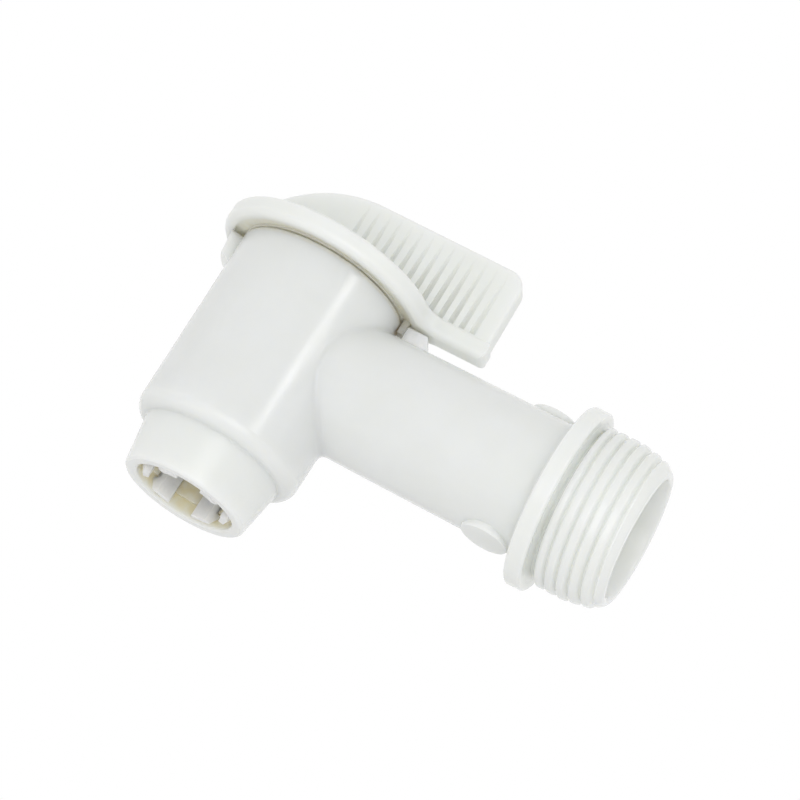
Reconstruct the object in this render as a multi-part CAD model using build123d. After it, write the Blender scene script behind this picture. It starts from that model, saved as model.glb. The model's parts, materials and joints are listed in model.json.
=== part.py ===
from build123d import *
import math
import os

# A plug tap for a jerrycan, moulded in two pieces: the body that screws into the can, and
# the plug that turns in it, made as one piece with its rim and its ribbed lever.
# Millimetres. X runs along the inlet pipe towards the can, Z up along the barrel.
# The origin is the centre of the flange's sealing face.

# Inlet: three quarter inch pipe thread, stated by its size over the crests
thread_diameter = 26.44
thread_parallel = 4.5
thread_end = 12.2
thread_run_in = 0.4
lead_drop = 0.77
end_chamfer = 1.8
end_drop = 1.35
end_edge = 0.5
relief_depth = 0.95
relief_width = 1.4
relief_slope = 0.5
face_clearance = 0.1
bore_chamfer = 0.9

# Flange and pipe
flange_overhang = 1.7
flange_thickness = 2.9
flange_edge = 0.5
pipe_diameter = 21.84
pipe_wall = 2.32
pipe_draft = 0.3
pipe_to_flange_fillet = 1.6
pipe_to_barrel_fillet = 1.1

# Round pads above and below the pipe, next to the flange
pad_diameter = 8.0
pad_height = 0.4
pad_gap = 1.3
pad_edge = 0.3

# Barrel
axis_to_face = 51.0
barrel_diameter = 28.5
barrel_draft = 0.35
barrel_wall = 2.45
barrel_above_pipe = 2.78
barrel_below_pipe = 8.58
barrel_floor = 2.3
barrel_rim_edge = 0.4
shoulder_width = 2.25
shoulder_drop = 0.7
shoulder_radius = 2.3

# Spout, with a ledge in its mouth that the plug's hooks catch on
spout_length = 8.15
spout_taper = 1.25
spout_wall = 2.0
spout_root_fillet = 0.3
spout_mouth_edge = 0.6
mouth_depth = 2.6
mouth_chamfer = 0.3
ledge_width = 0.7

# Stops: a post on the pipe guards the plug's tongue, and a lug on the barrel meets it
post_top_length = 3.5
post_base_length = 5.3
post_breadth = 4.0
post_below_rim = 0.5
post_edge = 0.3
lug_top_reach = 2.1
lug_bottom_reach = 1.7
lug_height = 3.85
lug_slope = 1.0
lug_angle = 28.0
tongue_thickness = 1.1
tongue_over_pipe = 0.95
tongue_angle = 8.0

# Fits of the plug in the body
plug_clearance = 0.06
seat_gap = 0.2
lug_gap = 0.2
floor_gap = 0.15
hook_gap = 0.2
hook_clearance = 0.2
tongue_clearance = 0.25

# Plug
finger_wall = 1.29
window_diameter = 13.0
passage_above_window = 2.5
passage_crown = 2.0
hook_land = 0.5
hook_lead = 0.85
tail_recess = 0.3
slot_width = 4.0
slot_root = 3.15
slot_angle = 43.0
slot_count = 6

# Rim and lever
rim_overhang = 3.8
rim_thickness = 3.15
rim_top_edge = 0.5
rim_bottom_edge = 1.1
lip_drop = 0.3
lip_groove_width = 1.95
lip_groove_depth = 0.6
lever_overhang = 10.4
lever_height = 12.62
lever_end_draft = 0.3
lever_thickness = 4.2
lever_foot_step = 0.15
lever_edge = 0.6
lever_corner = 3.0
lever_root_fillet = 3.5
crown_start = 2.1
crown_setback = 1.45

# Finger ribs: rows of upright grooves on both sides of the lever
groove_pitch = 1.9
groove_first = 0.3
groove_radius = 0.5
groove_depth = 0.42
groove_below_top = 0.6
groove_end_margin = 3.2

# Values worked out from the sizes above
thread_radius = thread_diameter / 2
pipe_radius = pipe_diameter / 2
inlet_radius = pipe_radius - pipe_wall
barrel_radius = barrel_diameter / 2
bore_radius = barrel_radius - barrel_wall
spout_root_radius = barrel_radius - barrel_draft - shoulder_width
spout_mouth_radius = spout_root_radius - spout_taper
mouth_radius = spout_mouth_radius - spout_wall
ledge_radius = mouth_radius - ledge_width
rim_radius = barrel_radius + rim_overhang
lever_reach = rim_radius + lever_overhang
barrel_top = pipe_radius + barrel_above_pipe
barrel_bottom = -pipe_radius - barrel_below_pipe
floor_z = barrel_bottom + barrel_floor
mouth_z = barrel_bottom - spout_length
ledge_z = mouth_z + mouth_depth
seat_z = barrel_top + seat_gap
rim_bottom = seat_z - lip_drop
rim_middle = rim_bottom + rim_thickness / 2
rim_top = rim_bottom + rim_thickness
lever_top = rim_top + lever_height
shaft_end = floor_z + floor_gap
tip_z = mouth_z + tail_recess
tail_radius = ledge_radius - plug_clearance
barrel_place = Pos(-axis_to_face, 0, 0)


def turned_about_z(points, radii):
    """A solid of revolution about Z from (radius, height) corners, each with its rounding."""
    outline = FilletPolyline(*points, radius=radii, close=True)
    return revolve(Plane.XZ * make_face(outline), axis=Axis.Z)


def turned_about_x(points, radii):
    """A solid of revolution about X from (x, radius) corners, each with its rounding."""
    outline = FilletPolyline(*points, radius=radii, close=True)
    return revolve(make_face(outline), axis=Axis.X)


def ring_sector(points, angle, middle):
    """A piece of a turned ring, angle wide, with its middle at the given bearing about Z."""
    section = Plane.XZ * make_face(Polyline(*points, close=True))
    return Rot(0, 0, middle - angle / 2) * revolve(section, axis=Axis.Z, revolution_arc=angle)


def barrel_and_spout():
    points = [
        (0, barrel_top),
        (barrel_radius, barrel_top),
        (barrel_radius - barrel_draft, barrel_bottom + shoulder_drop),
        (spout_root_radius, barrel_bottom),
        (spout_mouth_radius, mouth_z),
        (0, mouth_z),
    ]
    shoulder = Vector(-shoulder_width, -shoulder_drop)
    half_turn = math.radians(shoulder.get_angle(Vector(0, -1))) / 2
    shoulder_rounding = min(shoulder_radius, (shoulder.length - spout_root_fillet) / math.tan(half_turn))
    radii = [0, barrel_rim_edge, shoulder_rounding, spout_root_fillet, spout_mouth_edge, 0]
    return barrel_place * turned_about_z(points, radii)


def pipe_flange_and_thread():
    flange_radius = thread_radius + flange_overhang
    relief_radius = thread_radius - relief_depth
    lead_radius = thread_radius - lead_drop
    thread_start = relief_width + thread_run_in
    points = [
        (-axis_to_face, 0),
        (-axis_to_face, pipe_radius - pipe_draft),
        (-flange_thickness, pipe_radius),
        (-flange_thickness, flange_radius),
        (0, flange_radius),
        (0, thread_radius + face_clearance),
        (relief_slope, relief_radius),
        (relief_width, relief_radius),
        (thread_start, thread_radius),
        (thread_start + thread_parallel, thread_radius),
        (thread_end - end_chamfer, lead_radius),
        (thread_end, lead_radius - end_drop),
        (thread_end, 0),
    ]
    radii = [0, 0, pipe_to_flange_fillet, flange_edge, flange_edge] + [0] * 6 + [end_edge, 0]
    return turned_about_x(points, radii)


def marking_pads():
    """One round bar through the pipe, which leaves a flat pad above it and one below."""
    place = flange_thickness + pad_gap + pad_diameter / 2
    bar = Cylinder(pad_diameter / 2, 2 * (pipe_radius + pad_height))
    rounded = fillet(bar.edges().filter_by(GeomType.CIRCLE), pad_edge)
    return Pos(-place, 0, 0) * rounded


def stop_post():
    """A free-standing post on top of the pipe, with its outer side sloping out to its base."""
    inner = -axis_to_face + barrel_radius + tongue_thickness + 2 * tongue_clearance
    base = pipe_radius - pipe_wall / 2
    top = rim_bottom - post_below_rim
    outline = Polyline(
        (inner, base),
        (inner, top),
        (inner + post_top_length, top),
        (inner + post_base_length, base),
        close=True,
    )
    post = extrude(Plane.XZ * make_face(outline), amount=post_breadth / 2, both=True)
    return fillet(post.edges().filter_by_position(Axis.Z, base, top, (False, True)), post_edge)


def stop_lug():
    """A lug on the barrel's outside, opposite the pipe, with a sloping underside."""
    root = barrel_radius - barrel_wall / 2
    lug_top = rim_bottom - lug_gap
    outer_foot = lug_top - lug_height
    inner_foot = outer_foot - lug_slope
    points = [
        (root, lug_top),
        (barrel_radius + lug_top_reach, lug_top),
        (barrel_radius + lug_bottom_reach, outer_foot),
        (barrel_radius, inner_foot),
        (root, inner_foot),
    ]
    return barrel_place * ring_sector(points, lug_angle, 180)


def barrel_cavity():
    """The bore for the plug, the hole for its tail and the wider mouth below the ledge."""
    above = barrel_top + barrel_wall
    points = [
        (0, above),
        (bore_radius, above),
        (bore_radius, floor_z),
        (ledge_radius, floor_z),
        (ledge_radius, ledge_z),
        (mouth_radius, ledge_z),
        (mouth_radius, mouth_z + mouth_chamfer),
        (mouth_radius + 2 * mouth_chamfer, mouth_z - mouth_chamfer),
        (0, mouth_z - mouth_chamfer),
    ]
    return barrel_place * turned_about_z(points, [0] * len(points))


def inlet_cavity():
    """The bore from the thread's end to the barrel, with a small chamfer at the end."""
    points = [
        (-axis_to_face, 0),
        (-axis_to_face, inlet_radius),
        (thread_end - bore_chamfer, inlet_radius),
        (thread_end + bore_chamfer, inlet_radius + 2 * bore_chamfer),
        (thread_end + bore_chamfer, 0),
    ]
    return turned_about_x(points, [0] * len(points))


def make_body():
    shell = barrel_and_spout() + pipe_flange_and_thread()
    junction = shell.edges().filter_by(GeomType.BSPLINE)
    shell = fillet(junction, pipe_to_barrel_fillet)
    shell = shell + marking_pads() + stop_post() + stop_lug()
    return shell - barrel_cavity() - inlet_cavity()


def rim_plate():
    """The round rim drawn out into the lever's foot, with hollow curves between the two."""
    arm = Pos(lever_reach / 2, 0) * Rectangle(lever_reach, lever_thickness + 2 * lever_foot_step)
    plan = Circle(rim_radius) + arm
    corners = plan.vertices().group_by(Axis.X)[0]
    plan = fillet(corners, lever_root_fillet)
    plate = Pos(0, 0, rim_bottom) * extrude(plan, rim_thickness)
    upper = plate.faces().sort_by(Axis.Z)[-1]
    return fillet(upper.edges(), rim_top_edge)


def lever_blade():
    """The upright plate: level on top, with one large arc that falls to the rim's far side."""
    far = crown_setback - rim_radius
    near = lever_reach - lever_foot_step
    crown = TangentArc((crown_start, lever_top), (far, rim_middle), tangent=(-1, 0))
    rest = FilletPolyline(
        (far, rim_middle),
        (near, rim_middle),
        (near - lever_end_draft, lever_top),
        (crown_start, lever_top),
        radius=[0, lever_corner],
    )
    outline = make_face([*crown.edges(), *rest.edges()])
    return extrude(Plane.XZ * outline, amount=lever_thickness / 2, both=True)


def finger_grooves():
    """Round grooves up both sides of the lever, running out below its top, as many as it has room for."""
    length = lever_height - groove_below_top
    lean = math.degrees(math.atan(groove_depth / length))
    middle = lever_thickness / 2 + groove_radius - groove_depth / 2
    count = 1 + int((lever_reach - groove_end_margin - groove_first) / groove_pitch)
    cutters = [
        Pos(groove_first + index * groove_pitch, side * middle, rim_top + length / 2)
        * Rot(-side * lean, 0, 0)
        * Cylinder(groove_radius, length)
        for index in range(count)
        for side in (-1, 1)
    ]
    return Compound(cutters)


def rim_hollow():
    """The hollow under the rim: a flat seat over the barrel, and a groove round it inside the lip."""
    below = rim_bottom - lip_drop
    groove_top = rim_bottom + lip_groove_depth
    lip_inside = barrel_radius + lip_groove_width
    points = [
        (0, seat_z),
        (barrel_radius, seat_z),
        (barrel_radius, groove_top),
        (lip_inside, groove_top),
        (lip_inside, below),
        (0, below),
    ]
    return turned_about_z(points, [0] * len(points))


def make_lever():
    lever = rim_plate() + lever_blade()
    side = lever_thickness / 2
    sharp = [
        edge
        for edge in lever.edges()
        if edge.center().Z > rim_top + lever_edge and abs(abs(edge.center().Y) - side) < lever_edge / 2
    ]
    lever = fillet(sharp, lever_edge)
    underside = lever.faces().sort_by(Axis.Z)[0]
    lever = fillet(underside.outer_wire().edges(), rim_bottom_edge)
    return lever - finger_grooves() - rim_hollow()


def plug_shaft():
    """The plug's turned outside: shaft, narrower tail, and a hook with a sloping lead."""
    shaft_radius = bore_radius - plug_clearance
    hook_radius = mouth_radius - hook_clearance
    hook_z = ledge_z - hook_gap
    points = [
        (0, rim_middle),
        (shaft_radius, rim_middle),
        (shaft_radius, shaft_end),
        (tail_radius, shaft_end),
        (tail_radius, hook_z),
        (hook_radius, hook_z),
        (hook_radius, hook_z - hook_land),
        (hook_radius - hook_lead, tip_z),
        (0, tip_z),
    ]
    return turned_about_z(points, [0] * len(points))


def plug_passage():
    """The way for the liquid: up the middle of the plug and out through its side window."""
    passage_radius = tail_radius - finger_wall
    passage_top = window_diameter / 2 + passage_above_window
    length = passage_top - tip_z
    well = Pos(0, 0, tip_z + length / 2) * Cylinder(passage_radius, length)
    well = fillet(well.edges().filter_by(GeomType.CIRCLE).sort_by(Axis.Z)[-1], passage_crown)
    window = Pos(bore_radius / 2, 0, 0) * Rot(0, 90, 0) * Cylinder(window_diameter / 2, bore_radius)
    return well + window


def tail_slots():
    """Slots that part the tail into springy fingers, each carrying a piece of the hook."""
    length = shaft_end - slot_root - tip_z
    inner = tail_radius - 2 * finger_wall
    depth = mouth_radius - inner
    cutters = [
        Rot(0, 0, slot_angle + index * 360 / slot_count)
        * Pos(inner + depth / 2, 0, tip_z + length / 2)
        * Box(depth, slot_width, length)
        for index in range(slot_count)
    ]
    return Compound(cutters)


def stop_tongue():
    """A tongue under the rim, above the pipe, that swings round until it meets the lug."""
    inner = barrel_radius + tongue_clearance
    outer = inner + tongue_thickness
    bottom = pipe_radius + tongue_over_pipe
    top = rim_top - rim_top_edge
    points = [(inner, bottom), (outer, bottom), (outer, top), (inner, top)]
    return ring_sector(points, tongue_angle, 0)


def make_plug():
    plug = make_lever() + plug_shaft() + stop_tongue()
    plug = plug - plug_passage() - tail_slots()
    return barrel_place * plug


os.makedirs("parts", exist_ok=True)
export_step(make_body(), "parts/tap_body.step")
export_step(make_plug(), "parts/plug_lever.step")
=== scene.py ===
import json
import math
from typing import NamedTuple

import bmesh
import bpy
import numpy as np
from mathutils import Matrix, Vector


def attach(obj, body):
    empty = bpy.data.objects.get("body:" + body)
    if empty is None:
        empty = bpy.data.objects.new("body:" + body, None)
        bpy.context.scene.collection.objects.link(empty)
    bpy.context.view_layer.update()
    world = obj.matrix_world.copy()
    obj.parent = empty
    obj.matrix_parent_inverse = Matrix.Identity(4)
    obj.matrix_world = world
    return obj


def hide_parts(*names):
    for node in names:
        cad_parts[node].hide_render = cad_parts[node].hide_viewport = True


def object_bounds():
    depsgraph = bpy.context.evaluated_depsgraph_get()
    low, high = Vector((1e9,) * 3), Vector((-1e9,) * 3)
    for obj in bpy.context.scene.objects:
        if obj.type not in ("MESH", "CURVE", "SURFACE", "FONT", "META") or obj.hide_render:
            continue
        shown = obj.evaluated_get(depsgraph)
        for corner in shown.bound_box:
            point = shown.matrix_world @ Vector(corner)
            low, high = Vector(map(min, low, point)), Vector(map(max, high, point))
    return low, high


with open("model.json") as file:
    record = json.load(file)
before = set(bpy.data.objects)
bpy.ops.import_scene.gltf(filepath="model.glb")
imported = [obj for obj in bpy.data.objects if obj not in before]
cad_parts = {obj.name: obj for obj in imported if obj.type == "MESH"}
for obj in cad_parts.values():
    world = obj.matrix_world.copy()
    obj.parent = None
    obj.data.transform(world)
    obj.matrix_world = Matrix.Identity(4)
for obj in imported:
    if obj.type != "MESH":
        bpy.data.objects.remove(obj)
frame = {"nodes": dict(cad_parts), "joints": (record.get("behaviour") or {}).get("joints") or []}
CAD_BOX = [list(corner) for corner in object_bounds()]

bl_info = {
    "name": "Jerrycan Tap",
    "version": (1, 0, 0),
    "blender": (4, 5, 0),
    "location": "3D View > Sidebar > Tap",
    "description": "Threads, finishes and stages a two-piece moulded tap for a jerrycan",
    "category": "Object",
}

MM = 0.001
TURN = 2 * math.pi
BODY_NODE = "tap_body"
PLUG_NODE = "plug_lever"
MESH_MERGE = 0.001 * MM

# Places read from the frame, in millimetres: the barrel's axis and the inlet's end
BARREL_X = frame["joints"][0]["pos_m"][0] / MM
THREAD_END = CAD_BOX[1][0] / MM

# Inlet's turned profile, in millimetres along the pipe's axis and out from it
THREAD_CUT = 0.7
SEAM_GAP = 0.05
THREAD_START = THREAD_CUT + SEAM_GAP
TAPER_START = 6.3
NOSE_LENGTH = 1.8
FLARE_LENGTH = 4.5
CREST_RADIUS = 13.22
NOSE_RADIUS = 12.45
LIP_OUTER_RADIUS = 11.1
LIP_INNER_RADIUS = 10.1
BORE_RADIUS = 8.6
THREAD_CORNERS = np.array([
    (THREAD_START, CREST_RADIUS),
    (TAPER_START, CREST_RADIUS),
    (THREAD_END - NOSE_LENGTH, NOSE_RADIUS),
    (THREAD_END, LIP_OUTER_RADIUS),
    (THREAD_END, LIP_INNER_RADIUS),
    (THREAD_END - FLARE_LENGTH, BORE_RADIUS),
    (THREAD_START, BORE_RADIUS),
])
# Rounding of each corner between the profile's ends
THREAD_ROUNDINGS = np.array([3.0, 2.5, 0.9, 0.7, 9.0])

# Start and end of the thread: millimetres along the pipe, then turns along the helix and a share of one turn
RELIEF_DEPTH = 0.95
RELIEF_RISE = 0.4
FADE_START = THREAD_END - 1.5
FADE_END = THREAD_END - 0.7
GROWTH_START = -0.2
GROWTH_END = 0.15
FLANK_SHARE = 0.45

# Rows lie closer over the first share of the profile, which holds the thread
CLOSE_SHARE = 0.6
CLOSE_ROWS = 240
WIDE_ROWS = 120
THREAD_COLUMNS = 192

# Radii between which the open rings at the seam lie, outside and in the bore
OUTER_RING = (11 * MM, 13 * MM)
INNER_RING = (7 * MM, 9.5 * MM)

# Moulded polyethylene: widths of its patterns, the noise levels that they fade between, and their strengths
CLOUD_WIDTH = 9 * MM
CLOUD_LOW = 0.2
CLOUD_HIGH = 0.8
CLOUD_STRENGTH = 0.5
CLOUD_DULLING = (0.95, 0.95, 0.92)
PATCH_WIDTH = 1.2 * MM
PATCH_LOW = 0.3
PATCH_HIGH = 0.6
PATCH_LEAST = 0.5
PATTERN_DETAIL = 3.0
SKIN_WIDTH = 0.5 * MM
SKIN_HEIGHT = 0.05 * MM
SKIN_STRENGTH = 0.12
SKIN_DETAIL = 2.0
GLOW_DEPTH = 3.5 * MM
GLOW_TINT = (1.0, 0.97, 0.88)
HDPE_IOR = 1.54
# Rays and open-sky level of the painted shade laid by ambient occlusion
OCCLUSION_RAYS = 8
OCCLUSION_FREE = 0.98

# One moulding's roughness stays on one side of 0.27: the denoiser draws a line where it crosses
BODY_ROUGHNESS = 0.22
PLUG_ROUGHNESS = 0.34
MATT_ROUGHNESS = 0.45
ROUGHNESS_SPREAD = 0.03

# Photograph's view: bearings of the camera, its distance and its field, found from the outline
VIEW_AZIMUTH = math.radians(14.551)
VIEW_ELEVATION = math.radians(-19.997)
VIEW_ROLL = math.radians(32.265)
VIEW_DISTANCE = 0.51018
VIEW_LENS = 150.7
VIEW_SENSOR = 36.0
VIEW_TARGET = Vector((-29.2 * MM, 0, 0))
VIEW_RISE = 2.574 * MM
VIEW_SLIDE = 0.072 * MM

# Floor and lamps, in metres
FLOOR_HALF = 6.0
LAMP_DISTANCE = 0.55
FRONT_SIZE = 0.45
LOW_SIZE = 0.4
LOW_DIRECTION = Vector((-0.5, -0.45, -0.74))
GLINT_SIZE = 0.1
GLINT_DIRECTION = Vector((0.66, -0.68, 0.34))


class Drum(NamedTuple):
    """A soft upright drum, in millimetres: where its axis stands along the pipe, the heights of its ends,
    its radius, and the share of its reach that is full.
    """

    x: float
    low: float
    high: float
    radius: float
    core: float


class PaintedOcclusion(NamedTuple):
    """Painted shade in a drum: it darkens where surfaces within the reach, in millimetres, hide some of the
    sky, and has its full strength where only the depth's share of the sky is left.
    """

    drum: Drum
    strength: float
    reach: float
    depth: float


class PaintedShading(NamedTuple):
    """A drum of painted light or painted shade, in one of the finish's colours, named as the finish names it.
    """

    drum: Drum
    colour: str
    strength: float


SLOT_BY_POST = Drum(x=BARREL_X + 14.8, low=10.4, high=14.2, radius=1.6, core=0.5)
THREAD_GROOVES = Drum(x=6.0, low=-20.0, high=20.0, radius=13.0, core=0.8)
STOP_POST = Drum(x=BARREL_X + 18.4, low=10.2, high=15.0, radius=3.0, core=0.8)
SPOUT_BORE = Drum(x=BARREL_X, low=-27.8, high=-6.0, radius=9.6, core=0.85)
BARREL_TOP = Drum(x=BARREL_X, low=12.7, high=14.7, radius=48.0, core=0.3)
LEVER_RIBS = Drum(x=BARREL_X + 7.0, low=15.0, high=36.0, radius=21.0, core=0.5)
LEVER_BLADE = Drum(x=BARREL_X + 15.0, low=16.0, high=32.0, radius=24.0, core=0.6)
PLUG_FINGERS = Drum(x=BARREL_X, low=-29.0, high=-21.0, radius=10.0, core=0.9)
PLUG_PASSAGE = Drum(x=BARREL_X, low=-23.0, high=-4.0, radius=9.6, core=0.8)
RIM_UNDERSIDE = Drum(x=BARREL_X, low=12.7, high=14.9, radius=17.5, core=0.8)
RIM_BY_POST = Drum(x=BARREL_X + 12.0, low=13.0, high=14.4, radius=8.0, core=0.3)

# Body: painted shade in the thread's grooves and relief, painted light on the stop post, yellowed painted
# shade in the spout and on the barrel's top, brown painted shade in the slot
BODY_OCCLUSION_SHADE = PaintedOcclusion(THREAD_GROOVES, strength=0.12, reach=2.0, depth=0.4)
BODY_PAINTED_SHADING = (
    PaintedShading(STOP_POST, "painted_light_colour", strength=1.0),
    PaintedShading(SPOUT_BORE, "inside_shade_colour", strength=0.95),
    PaintedShading(BARREL_TOP, "inside_shade_colour", strength=0.5),
    PaintedShading(SLOT_BY_POST, "slot_shade_colour", strength=0.9),
)
# Plug: painted shade in the lever's grooves, painted light on the fingers, yellowed painted shade in the
# passage, under the rim and by the slot
PLUG_OCCLUSION_SHADE = PaintedOcclusion(LEVER_RIBS, strength=1.0, reach=1.0, depth=0.6)
PLUG_PAINTED_SHADING = (
    PaintedShading(PLUG_FINGERS, "painted_light_colour", strength=1.0),
    PaintedShading(PLUG_PASSAGE, "inside_shade_colour", strength=0.8),
    PaintedShading(RIM_UNDERSIDE, "inside_shade_colour", strength=0.5),
    PaintedShading(RIM_BY_POST, "inside_shade_colour", strength=0.4),
    PaintedShading(SLOT_BY_POST, "inside_shade_colour", strength=0.8),
)
PLUG_MATT_PLACES = (LEVER_BLADE,)


def linear(code):
    """An sRGB hex colour as linear red, green and blue."""
    srgb = np.array([int(code[i : i + 2], 16) for i in (1, 3, 5)]) / 255
    return tuple(np.where(srgb <= 0.04045, srgb / 12.92, ((srgb + 0.055) / 1.055) ** 2.4).tolist())


class TapThreadSizes(bpy.types.PropertyGroup):
    """Sizes of the screw thread on the inlet."""

    pitch: bpy.props.FloatProperty(
        name="Pitch", description="Distance between neighbouring turns", default=1.95 * MM, unit="LENGTH"
    )
    depth: bpy.props.FloatProperty(
        name="Depth", description="Depth of the groove between turns", default=0.5 * MM, unit="LENGTH"
    )
    sharpness: bpy.props.FloatProperty(
        name="Sharpness", description="Higher makes the grooves narrower and the crests broader", default=7.0
    )
    start_angle: bpy.props.FloatProperty(
        name="Start", description="Bearing at which the thread starts",
        default=math.radians(91), subtype="ANGLE",
    )


class TapFinish(bpy.types.PropertyGroup):
    """Colours of the two mouldings, and of the painted shade and painted light laid over them."""

    body_colour: bpy.props.FloatVectorProperty(
        name="Body", description="Colour of the body moulding", default=linear("#E9EBE9"), subtype="COLOR"
    )
    plug_colour: bpy.props.FloatVectorProperty(
        name="Plug", description="Colour of the plug and lever", default=linear("#E8EAE8"), subtype="COLOR"
    )
    # Painted shade with a yellowed tint: darkens the spout's inside, the barrel's top, the rim's underside,
    # the plug's passage and the slot by the post
    inside_shade_colour: bpy.props.FloatVectorProperty(
        name="Inside", description="Yellowed colour in the spout and under the rim",
        default=linear("#E0D9BE"), subtype="COLOR",
    )
    # Painted light: whitens the stop post and the plug's fingers where they stand in shade
    painted_light_colour: bpy.props.FloatVectorProperty(
        name="Rubbed", description="Whiter colour of the rubbed post and fingers",
        default=linear("#FBFBF8"), subtype="COLOR",
    )
    # Painted shade: laid in grooves and corners where ambient occlusion finds close surfaces
    occlusion_shade_colour: bpy.props.FloatVectorProperty(
        name="PaintedOcclusion", description="Dull tone in grooves and corners",
        default=linear("#B4B6AE"), subtype="COLOR",
    )
    # Painted shade with a brown tint: darkens the gap behind the post
    slot_shade_colour: bpy.props.FloatVectorProperty(
        name="Crevice", description="Dirt in the gap behind the post",
        default=linear("#BFA67E"), subtype="COLOR",
    )


class TapStage(bpy.types.PropertyGroup):
    """Floor and light of the stage."""

    floor_colour: bpy.props.FloatVectorProperty(
        name="Floor", description="Colour of the floor", default=linear("#F4F4F4"), subtype="COLOR"
    )
    floor_drop: bpy.props.FloatProperty(
        name="Floor drop", description="Height of the spout's mouth over the floor",
        default=600 * MM, unit="LENGTH",
    )
    floor_lift: bpy.props.FloatProperty(
        name="Floor lift", description="Light added to the floor for the eye, to make it white", default=0.25
    )
    sky_level: bpy.props.FloatProperty(
        name="Sky level", description="Strength of the even light from all round", default=0.82
    )
    front_power: bpy.props.FloatProperty(
        name="Front power", description="Power of the broad lamp round the camera", default=0.8, unit="POWER"
    )
    low_power: bpy.props.FloatProperty(
        name="Low power", description="Power of the broad lamp below the spout", default=0.13, unit="POWER"
    )
    glint_power: bpy.props.FloatProperty(
        name="Glint power", description="Power of the small lamp that draws the streak",
        default=0.17, unit="POWER",
    )


def add_node(tree, kind, inputs=(), **settings):
    """Adds a node with its settings, and its inputs as values or as another node's output sockets."""
    made = tree.nodes.new(kind)
    for name, value in settings.items():
        setattr(made, name, value)
    for name, value in dict(inputs).items():
        if isinstance(value, bpy.types.NodeSocket):
            tree.links.new(value, made.inputs[name])
        else:
            made.inputs[name].default_value = value
    return made


def rounded_path(corners, roundings, steps=12):
    """A path along the corners, each eased by a parabola that starts and ends at a distance of
    rounding * tan(turn / 2) from it.
    """
    before, at, after = corners[:-2], corners[1:-1], corners[2:]
    back = before - at
    ahead = after - at
    back /= np.linalg.norm(back, axis=1, keepdims=True)
    ahead /= np.linalg.norm(ahead, axis=1, keepdims=True)
    turn = math.pi - np.arccos(np.clip((back * ahead).sum(axis=1), -1, 1))
    reach = (roundings * np.tan(turn / 2))[:, None, None]
    t = np.linspace(0, 1, steps)[None, :, None]
    curves = at[:, None] + reach * ((1 - t) ** 2 * back[:, None] + t**2 * ahead[:, None])
    return np.concatenate([corners[:1], curves.reshape(-1, 2), corners[-1:]])


def resampled(path, stations):
    """The path read off at the given shares of its length."""
    lengths = np.concatenate([[0], np.cumsum(np.linalg.norm(np.diff(path, axis=0), axis=1))])
    wanted = stations * lengths[-1]
    return np.stack([np.interp(wanted, lengths, path[:, k]) for k in range(2)], axis=1)


def smooth_step(low, high, value):
    """Rises from 0 at low to 1 at high with level ends: 3 t^2 - 2 t^3."""
    t = np.clip((value - low) / (high - low), 0, 1)
    return t * t * (3 - 2 * t)


def grid_quads(rows, columns):
    """Quads of a grid whose last column joins its first, wound so that rows x columns faces outwards."""
    row, column = np.meshgrid(np.arange(rows - 1), np.arange(columns), indexing="ij")
    right = (column + 1) % columns
    here, next_row = row * columns, (row + 1) * columns
    quads = np.stack([here + column, here + right, next_row + right, next_row + column], axis=-1)
    return quads.reshape(-1, 4)


def threaded_inlet(sizes):
    """The inlet as a turned profile whose outside, up to the lip, is cut by a right-hand helix.

    Point (s, a) has the profile's x at s, and its radius less a drop. With the turn count
    c = x / pitch - (a - start) / turn, and f its part past a whole number, the groove is
    depth * |cos(pi f)| ^ sharpness, and fades out before the lip. Counted along the helix, the crest grows
    out of the relief over the first third of a turn, and the flank that faces the relief runs down to it.
    """
    path = rounded_path(THREAD_CORNERS, THREAD_ROUNDINGS)
    stations = np.concatenate([
        np.linspace(0, CLOSE_SHARE, CLOSE_ROWS, endpoint=False),
        np.linspace(CLOSE_SHARE, 1, WIDE_ROWS),
    ])
    x, radius = resampled(path, stations).T
    outside = np.arange(len(x)) <= x.argmax()
    x = x[:, None]
    angle = np.linspace(0, TURN, THREAD_COLUMNS, endpoint=False)[None]
    depth = sizes.depth / MM
    count = x * MM / sizes.pitch - (angle - sizes.start_angle) / TURN
    cell = np.floor(count)
    part = count - cell
    along = cell + angle / TURN
    grown = smooth_step(GROWTH_START, GROWTH_END, along)
    grown = grown * smooth_step(THREAD_START, THREAD_START + RELIEF_RISE, x)
    groove = depth * np.abs(np.cos(math.pi * part)) ** sizes.sharpness
    groove = groove * (1 - smooth_step(FADE_START, FADE_END, x))
    first_turn = 1 - smooth_step(GROWTH_START, GROWTH_END, along - 1)
    first_flank = (RELIEF_DEPTH - depth) * (1 - smooth_step(0, FLANK_SHARE, part)) * first_turn
    drop = RELIEF_DEPTH * (1 - grown) + grown * (groove + first_flank)
    r = radius[:, None] - drop * outside[:, None]
    points = np.stack([np.broadcast_to(x, r.shape), r * np.cos(angle), r * np.sin(angle)], axis=-1)
    return points.reshape(-1, 3) * MM, grid_quads(len(x), THREAD_COLUMNS)


def mesh_of(name, points, faces):
    """A smooth mesh from arrays of points and of faces."""
    mesh = bpy.data.meshes.new(name)
    mesh.from_pydata(points.tolist(), [], faces.tolist())
    mesh.polygons.foreach_set("use_smooth", np.ones(len(mesh.polygons), dtype=bool))
    return mesh


def ring_edges(bm, radius_low, radius_high):
    """Open edges whose middle lies between two radii about the pipe's axis."""
    found = []
    for edge in bm.edges:
        middle = (edge.verts[0].co + edge.verts[1].co) / 2
        if edge.is_boundary and radius_low < math.hypot(middle.y, middle.z) < radius_high:
            found.append(edge)
    return found


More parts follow.
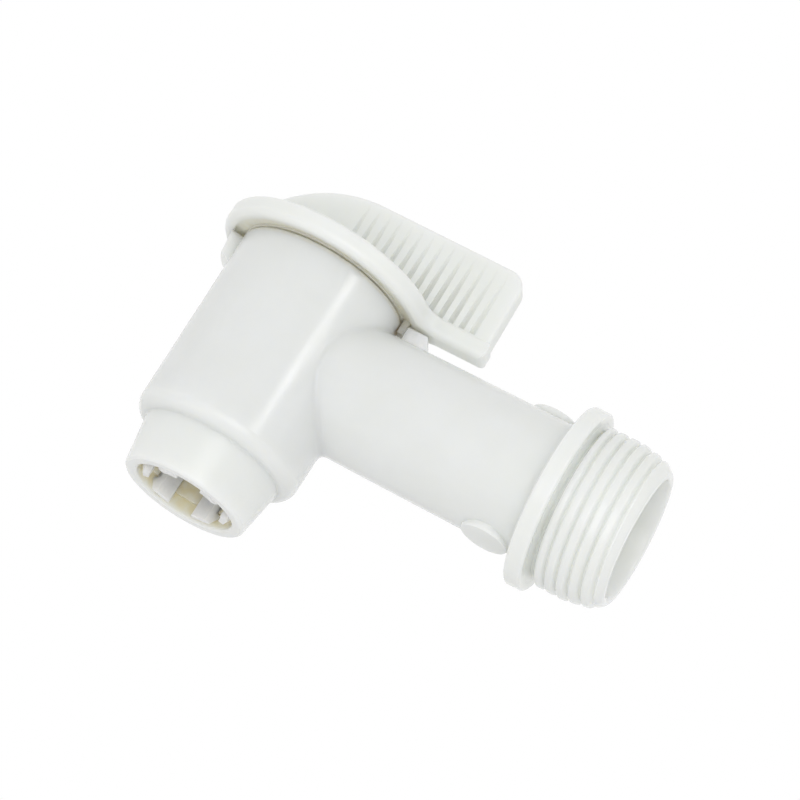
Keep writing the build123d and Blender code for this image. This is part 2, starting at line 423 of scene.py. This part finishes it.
def body_mesh(sizes):
    """The body's solid cut off in the groove behind the thread, with the threaded inlet joined on."""
    shell = frame["nodes"][BODY_NODE].data.copy()
    exact = np.empty(len(shell.loops) * 3, dtype=np.float32)
    shell.corner_normals.foreach_get("vector", exact)
    shell.attributes.new("exact_normal", "FLOAT_VECTOR", "CORNER").data.foreach_set("vector", exact)
    inlet = mesh_of("inlet", *threaded_inlet(sizes))
    bm = bmesh.new()
    bm.from_mesh(shell)
    bmesh.ops.remove_doubles(bm, verts=bm.verts, dist=MESH_MERGE)
    whole = bm.verts[:] + bm.edges[:] + bm.faces[:]
    bmesh.ops.bisect_plane(
        bm, geom=whole, plane_co=(THREAD_CUT * MM, 0, 0), plane_no=(1, 0, 0), clear_outer=True
    )
    bm.from_mesh(inlet)
    for ring in (OUTER_RING, INNER_RING):
        bmesh.ops.bridge_loops(bm, edges=ring_edges(bm, *ring))
    mesh = bpy.data.meshes.new("tap_body_moulding")
    bm.to_mesh(mesh)
    bm.free()
    for scratch in (shell, inlet):
        bpy.data.meshes.remove(scratch)
    mesh.polygons.foreach_set("use_smooth", np.ones(len(mesh.polygons), dtype=bool))
    normals = np.empty(len(mesh.loops) * 3, dtype=np.float32)
    mesh.attributes["exact_normal"].data.foreach_get("vector", normals)
    mesh.normals_split_custom_set(normals.reshape(-1, 3).tolist())
    mesh.attributes.remove(mesh.attributes["exact_normal"])
    return mesh


def soft_drum(tree, place, drum):
    """Share of a drum: 1 in its core, falling to 0 at its radius and its ends."""
    reach = Vector((drum.radius, drum.radius, (drum.high - drum.low) / 2)) * MM
    middle = Vector((drum.x, 0, (drum.low + drum.high) / 2)) * MM
    shrink = Vector([1 / r for r in reach])
    centred = add_node(
        tree, "ShaderNodeMapping", {"Vector": place, "Location": -middle * shrink, "Scale": shrink}
    )
    parts = add_node(tree, "ShaderNodeSeparateXYZ", {"Vector": centred.outputs["Vector"]}).outputs
    flat = add_node(tree, "ShaderNodeCombineXYZ", {"X": parts["X"], "Y": parts["Y"]})
    away = add_node(tree, "ShaderNodeVectorMath", {0: flat.outputs["Vector"]}, operation="LENGTH")
    height = add_node(tree, "ShaderNodeMath", {0: parts["Z"]}, operation="ABSOLUTE")
    far = add_node(
        tree, "ShaderNodeMath", {0: away.outputs["Value"], 1: height.outputs[0]}, operation="MAXIMUM"
    )
    fall = add_node(
        tree, "ShaderNodeMapRange",
        {"Value": far.outputs[0], "From Min": drum.core, "To Min": 1.0, "To Max": 0.0},
        interpolation_type="SMOOTHSTEP",
    )
    return fall.outputs["Result"]


def clouded(tree, cloud, colour):
    """The colour, slightly duller where the flow marks are dense."""
    share = add_node(
        tree, "ShaderNodeMapRange",
        {"Value": cloud, "From Min": CLOUD_LOW, "From Max": CLOUD_HIGH, "To Max": CLOUD_STRENGTH},
        interpolation_type="SMOOTHSTEP",
    )
    dull = [dulling * part for dulling, part in zip(CLOUD_DULLING, colour)]
    return add_node(
        tree, "ShaderNodeMix",
        {"Factor": share.outputs["Result"], "A": (*colour, 1.0), "B": (*dull, 1.0)},
        data_type="RGBA",
    ).outputs["Result"]


def with_occlusion_shade(tree, place, tone, occlusion, colour):
    """The tone darkened by painted shade in the drum, where surfaces within the reach hide some of the sky.
    """
    hidden = add_node(
        tree, "ShaderNodeAmbientOcclusion", {"Distance": occlusion.reach * MM}, samples=OCCLUSION_RAYS
    )
    shade_level = add_node(
        tree, "ShaderNodeMapRange",
        {
            "Value": hidden.outputs["AO"],
            "From Min": occlusion.depth,
            "From Max": OCCLUSION_FREE,
            "To Min": occlusion.strength,
            "To Max": 0.0,
        },
        interpolation_type="SMOOTHSTEP",
    )
    share = add_node(
        tree, "ShaderNodeMath",
        {0: shade_level.outputs["Result"], 1: soft_drum(tree, place, occlusion.drum)},
        operation="MULTIPLY",
    )
    return add_node(
        tree, "ShaderNodeMix",
        {"Factor": share.outputs[0], "A": tone, "B": (*colour, 1.0)},
        data_type="RGBA",
    ).outputs["Result"]


def with_painted_shading(tree, place, tone, shadings, finish):
    """The tone with each drum of painted light or painted shade over it in turn, broken up into small
    patches.
    """
    patch = add_node(
        tree, "ShaderNodeTexNoise", {"Vector": place, "Scale": 1 / PATCH_WIDTH, "Detail": PATTERN_DETAIL}
    )
    broken = add_node(
        tree, "ShaderNodeMapRange",
        {"Value": patch.outputs["Fac"], "From Min": PATCH_LOW, "From Max": PATCH_HIGH, "To Min": PATCH_LEAST},
    ).outputs["Result"]
    for shading in shadings:
        drum = soft_drum(tree, place, shading.drum)
        patches = add_node(tree, "ShaderNodeMath", {0: drum, 1: broken}, operation="MULTIPLY")
        share = add_node(
            tree, "ShaderNodeMath", {0: patches.outputs[0], 1: shading.strength}, operation="MULTIPLY"
        )
        colour = getattr(finish, shading.colour)
        tone = add_node(
            tree, "ShaderNodeMix",
            {"Factor": share.outputs[0], "A": tone, "B": (*colour, 1.0)},
            data_type="RGBA",
        ).outputs["Result"]
    return tone


def uneven_gloss(tree, place, cloud, roughness, matt_places):
    """Roughness that follows the flow marks a little, and turns matt in the matt places."""
    level = add_node(
        tree, "ShaderNodeMapRange",
        {
            "Value": cloud,
            "From Min": CLOUD_LOW,
            "From Max": CLOUD_HIGH,
            "To Min": roughness - ROUGHNESS_SPREAD,
            "To Max": roughness + ROUGHNESS_SPREAD,
        },
        interpolation_type="SMOOTHSTEP",
    ).outputs["Result"]
    for drum in matt_places:
        level = add_node(
            tree, "ShaderNodeMix",
            {"Factor": soft_drum(tree, place, drum), "A": level, "B": MATT_ROUGHNESS},
        ).outputs["Result"]
    return level


def moulded_hdpe(name, finish, colour, roughness, occlusion, shadings, matt_places=()):
    """Natural high-density polyethylene, injection moulded: off-white and slightly see-through, so that
    thin edges and grooves glow, with a soft waxy gloss, faint cloudy flow marks and a fine mould skin.
    """
    material = bpy.data.materials.new(name)
    material.use_nodes = True
    tree = material.node_tree
    tree.nodes.clear()
    place = add_node(tree, "ShaderNodeTexCoord").outputs["Object"]
    cloud = add_node(
        tree, "ShaderNodeTexNoise", {"Vector": place, "Scale": 1 / CLOUD_WIDTH, "Detail": PATTERN_DETAIL}
    ).outputs["Fac"]
    tone = clouded(tree, cloud, colour)
    tone = with_occlusion_shade(tree, place, tone, occlusion, finish.occlusion_shade_colour)
    tone = with_painted_shading(tree, place, tone, shadings, finish)
    skin = add_node(
        tree, "ShaderNodeTexNoise", {"Vector": place, "Scale": 1 / SKIN_WIDTH, "Detail": SKIN_DETAIL}
    )
    normal = add_node(
        tree, "ShaderNodeBump",
        {"Height": skin.outputs["Fac"], "Strength": SKIN_STRENGTH, "Distance": SKIN_HEIGHT},
    )
    shader = add_node(
        tree, "ShaderNodeBsdfPrincipled",
        {
            "Base Color": tone,
            "Roughness": uneven_gloss(tree, place, cloud, roughness, matt_places),
            "IOR": HDPE_IOR,
            "Subsurface Weight": 1.0,
            "Subsurface Radius": GLOW_TINT,
            "Subsurface Scale": GLOW_DEPTH,
            "Normal": normal.outputs["Normal"],
        },
    )
    add_node(tree, "ShaderNodeOutputMaterial", {"Surface": shader.outputs["BSDF"]})
    return material


class TAP_OT_body(bpy.types.Operator):
    """Make the body moulding with its inlet thread"""

    bl_idname = "tap.body"
    bl_label = "Body moulding"

    def execute(self, context):
        scene = context.scene
        finish = scene.tap_finish
        moulding = bpy.data.objects.new("tap_body_moulding", body_mesh(scene.tap_thread))
        scene.collection.objects.link(moulding)
        moulding.data.materials.append(moulded_hdpe(
            "hdpe_body_moulding", finish, finish.body_colour, BODY_ROUGHNESS, BODY_OCCLUSION_SHADE, BODY_PAINTED_SHADING
        ))
        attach(moulding, "body")
        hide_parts(BODY_NODE)
        return {"FINISHED"}


class TAP_OT_plug(bpy.types.Operator):
    """Finish the plug and its lever"""

    bl_idname = "tap.plug"
    bl_label = "Plug and lever"

    def execute(self, context):
        finish = context.scene.tap_finish
        lever = frame["nodes"][PLUG_NODE]
        lever.data.materials.clear()
        lever.data.materials.append(moulded_hdpe(
            "hdpe_plug_moulding", finish, finish.plug_colour, PLUG_ROUGHNESS, PLUG_OCCLUSION_SHADE, PLUG_PAINTED_SHADING,
            PLUG_MATT_PLACES,
        ))
        return {"FINISHED"}


def floor_paint(colour, lift):
    """Matt white paint: takes the object's soft shadow, and is lifted to white for the eye alone."""
    material = bpy.data.materials.new("floor_paint")
    material.use_nodes = True
    tree = material.node_tree
    tree.nodes.clear()
    paint = add_node(tree, "ShaderNodeBsdfDiffuse", {"Color": (*colour, 1.0)})
    path = add_node(tree, "ShaderNodeLightPath").outputs
    seen = add_node(tree, "ShaderNodeMath", {0: path["Is Camera Ray"], 1: lift}, operation="MULTIPLY")
    glow = add_node(tree, "ShaderNodeEmission", {"Strength": seen.outputs[0]})
    both = add_node(tree, "ShaderNodeAddShader", {0: paint.outputs[0], 1: glow.outputs[0]})
    add_node(tree, "ShaderNodeOutputMaterial", {"Surface": both.outputs[0]})
    return material


def lay_floor(scene, stage):
    """A square floor below the spout's mouth."""
    height = CAD_BOX[0][2] - stage.floor_drop
    corners = FLOOR_HALF * np.array([(-1, -1), (1, -1), (1, 1), (-1, 1)])
    points = np.column_stack([corners, np.full(len(corners), height)])
    floor = bpy.data.objects.new("floor", mesh_of("floor", points, np.array([[0, 1, 2, 3]])))
    floor.data.materials.append(floor_paint(stage.floor_colour, stage.floor_lift))
    scene.collection.objects.link(floor)


def studio_sky(scene, level):
    """White for the eye and for reflections, a lower even light for everything else."""
    world = bpy.data.worlds.new("studio_sky")
    scene.world = world
    world.use_nodes = True
    tree = world.node_tree
    tree.nodes.clear()
    path = add_node(tree, "ShaderNodeLightPath").outputs
    mirrored = add_node(
        tree, "ShaderNodeMath", {0: path["Is Camera Ray"], 1: path["Is Glossy Ray"]}, operation="MAXIMUM"
    )
    seen = add_node(
        tree, "ShaderNodeMath", {0: mirrored.outputs[0], 1: path["Is Transmission Ray"]}, operation="MAXIMUM"
    )
    strength = add_node(
        tree, "ShaderNodeMapRange", {"Value": seen.outputs[0], "To Min": level, "To Max": 1.0}
    )
    sky = add_node(
        tree, "ShaderNodeBackground", {"Color": (1, 1, 1, 1), "Strength": strength.outputs["Result"]}
    )
    add_node(tree, "ShaderNodeOutputWorld", {"Surface": sky.outputs[0]})


def photo_axes():
    """Right, up and back of the photograph's view, in the part's frame."""
    back = Vector((
        math.sin(VIEW_AZIMUTH) * math.cos(VIEW_ELEVATION),
        -math.cos(VIEW_AZIMUTH) * math.cos(VIEW_ELEVATION),
        math.sin(VIEW_ELEVATION),
    ))
    level = (-back).cross(Vector((0, 0, 1))).normalized()
    upright = level.cross(-back)
    right = math.cos(VIEW_ROLL) * level + math.sin(VIEW_ROLL) * upright
    up = -math.sin(VIEW_ROLL) * level + math.cos(VIEW_ROLL) * upright
    return right, up, back


def hang_lamp(scene, name, direction, size, power, fills):
    """A round soft lamp in a direction from the tap's middle, facing it, unseen by the camera.

    One that doesn't fill only draws highlights.
    """
    middle = (Vector(CAD_BOX[0]) + Vector(CAD_BOX[1])) / 2
    towards = direction.normalized()
    light = bpy.data.lights.new(name, "AREA")
    light.shape = "DISK"
    light.size = size
    light.energy = power
    lamp = bpy.data.objects.new(name, light)
    lamp.location = middle + LAMP_DISTANCE * towards
    lamp.rotation_euler = towards.to_track_quat("Z", "Y").to_euler()
    lamp.visible_camera = False
    lamp.visible_diffuse = fills
    scene.collection.objects.link(lamp)


def set_camera(scene, right, up, back):
    """The camera at the photograph's view."""
    camera = bpy.data.objects.new("photo_camera", bpy.data.cameras.new("photo_camera"))
    camera.data.lens = VIEW_LENS
    camera.data.sensor_width = VIEW_SENSOR
    aim = VIEW_TARGET + VIEW_RISE * up + VIEW_SLIDE * right
    facing = Matrix((right, up, back)).transposed().to_4x4()
    camera.matrix_world = Matrix.Translation(aim + VIEW_DISTANCE * back) @ facing
    scene.collection.objects.link(camera)
    scene.camera = camera


class TAP_OT_stage(bpy.types.Operator):
    """Lay the floor, hang the lamps and set the camera"""

    bl_idname = "tap.stage"
    bl_label = "Stage"

    def execute(self, context):
        scene = context.scene
        stage = scene.tap_stage
        scene.view_settings.view_transform = "Standard"
        studio_sky(scene, stage.sky_level)
        lay_floor(scene, stage)
        right, up, back = photo_axes()
        hang_lamp(scene, "front_lamp", back, FRONT_SIZE, stage.front_power, fills=True)
        hang_lamp(scene, "low_lamp", LOW_DIRECTION, LOW_SIZE, stage.low_power, fills=True)
        hang_lamp(scene, "glint_lamp", GLINT_DIRECTION, GLINT_SIZE, stage.glint_power, fills=False)
        set_camera(scene, right, up, back)
        return {"FINISHED"}


class TAP_PT_panel(bpy.types.Panel):
    """Sizes, colours and steps of the tap"""

    bl_label = "Jerrycan Tap"
    bl_space_type = "VIEW_3D"
    bl_region_type = "UI"
    bl_category = "Tap"

    def draw(self, context):
        scene = context.scene
        for group in (scene.tap_thread, scene.tap_finish, scene.tap_stage):
            box = self.layout.box()
            for name in group.__annotations__:
                box.prop(group, name)
        for step in (TAP_OT_body, TAP_OT_plug, TAP_OT_stage):
            self.layout.operator(step.bl_idname)


CLASSES = (TapThreadSizes, TapFinish, TapStage, TAP_OT_body, TAP_OT_plug, TAP_OT_stage, TAP_PT_panel)


def register():
    for kind in CLASSES:
        bpy.utils.register_class(kind)
    bpy.types.Scene.tap_thread = bpy.props.PointerProperty(type=TapThreadSizes)
    bpy.types.Scene.tap_finish = bpy.props.PointerProperty(type=TapFinish)
    bpy.types.Scene.tap_stage = bpy.props.PointerProperty(type=TapStage)


def unregister():
    del bpy.types.Scene.tap_stage
    del bpy.types.Scene.tap_finish
    del bpy.types.Scene.tap_thread
    for kind in reversed(CLASSES):
        bpy.utils.unregister_class(kind)


def main():
    register()
    bpy.ops.tap.body()
    bpy.ops.tap.plug()
    bpy.ops.tap.stage()


if __name__ == "__main__":
    main()
